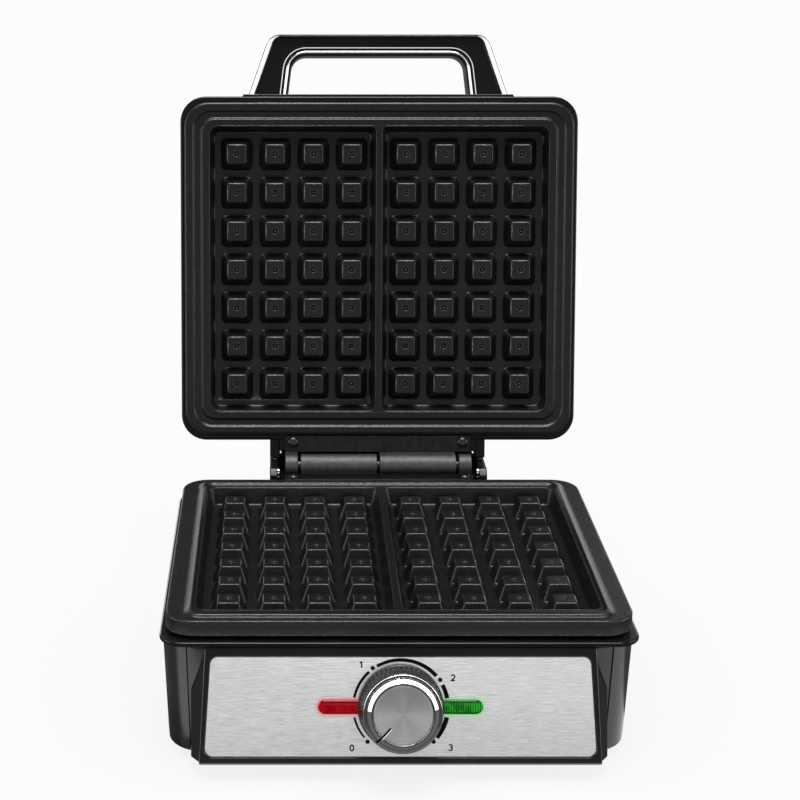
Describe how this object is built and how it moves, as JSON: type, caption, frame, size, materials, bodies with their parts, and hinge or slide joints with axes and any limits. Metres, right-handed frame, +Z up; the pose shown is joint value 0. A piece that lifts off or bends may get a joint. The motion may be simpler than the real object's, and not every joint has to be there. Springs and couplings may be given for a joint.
{
  "type": "double waffle maker",
  "caption": "Electric waffle maker for two square waffles: open lid leaning back on its hinge, black base with a steel front panel, dial and two lamp windows, and a bow handle.",
  "frame": {"origin": "middle of the open waffle maker's box in X and Y, on the plane its feet stand on", "axes": "+Z up, +Y from the control panel towards the hinge, +X to the user's right"},
  "size_m": [0.2432, 0.3536, 0.3349],
  "materials": {
    "black_gloss": "moulded black, glossy",
    "black_satin": "moulded black, satin",
    "nonstick": "cast aluminium with black non-stick coating",
    "cast_black": "die-cast bracket, black coat",
    "steel_brushed": "brushed lengthways",
    "steel_plain": "plain zinc-plated",
    "steel_black": "black oxide screws",
    "chrome": "bright chrome",
    "alu_spun": "spun face, fine rings",
    "alu_sheet": "aluminised sheet",
    "element_steel": "heat-tinted steel tube",
    "rubber": "matt",
    "red_lens": "clear red, ribbed inside",
    "green_lens": "clear green, ribbed inside",
    "white_plastic": "moulded off-white",
    "neon_glass": "small neon lamp",
    "brass": "plain",
    "wire": "silicone sleeve"
  },
  "bodies": {
    "base": {"base_housing": "black_gloss", "base_bottom_cover": "black_satin", "rubber_feet": "rubber", "bottom_cover_screws": "steel_plain", "control_bezel": "black_gloss", "bezel_screws": "steel_plain", "front_panel_plate": "steel_brushed", "red_lamp_lens": "red_lens", "green_lamp_lens": "green_lens", "lamp_holder": "white_plastic", "neon_lamps": "neon_glass", "lower_cooking_plate": "nonstick", "lower_heating_element": "element_steel", "lower_element_clamp": "steel_plain", "lower_heat_shield": "alu_sheet", "lower_plate_screws": "steel_plain", "thermostat_body": "white_plastic", "thermostat_bracket": "steel_plain", "thermostat_nut": "brass", "thermal_fuse": "white_plastic", "terminal_block": "white_plastic", "cord_gland": "black_satin", "base_wiring": "wire", "lower_hinge_bracket": "cast_black", "lower_hinge_screws": "steel_black", "hinge_pin": "steel_plain", "hinge_ear_rivets": "chrome"},
    "lid": {"lid_housing": "black_gloss", "lid_top_panel": "steel_brushed", "upper_cooking_plate": "nonstick", "upper_heating_element": "element_steel", "upper_element_clamp": "steel_plain", "upper_heat_shield": "alu_sheet", "upper_plate_screws": "steel_plain", "upper_hinge_bracket": "cast_black", "upper_hinge_screws": "steel_black", "handle_bow": "black_gloss", "handle_outer_trim": "chrome", "handle_inner_trim": "chrome", "handle_screws": "steel_plain"},
    "knob": {"knob_skirt": "black_satin", "knob_bevel_ring": "chrome", "knob_face": "alu_spun", "knob_pointer": "black_satin", "thermostat_spindle": "steel_plain", "knob_spring_clip": "steel_plain"}
  },
  "joints": [
    {"name": "lid_hinge", "type": "hinge", "parent": "base", "child": "lid", "pos_m": [0, 0.08317, 0.0806], "axis": [1, 0, 0], "range_deg": [0, 102.76]},
    {"name": "knob_turn", "type": "hinge", "parent": "base", "child": "knob", "pos_m": [0, -0.15193, 0.0376], "axis": [0, 0.9588, -0.284], "range_deg": [0, 273]}
  ]
}
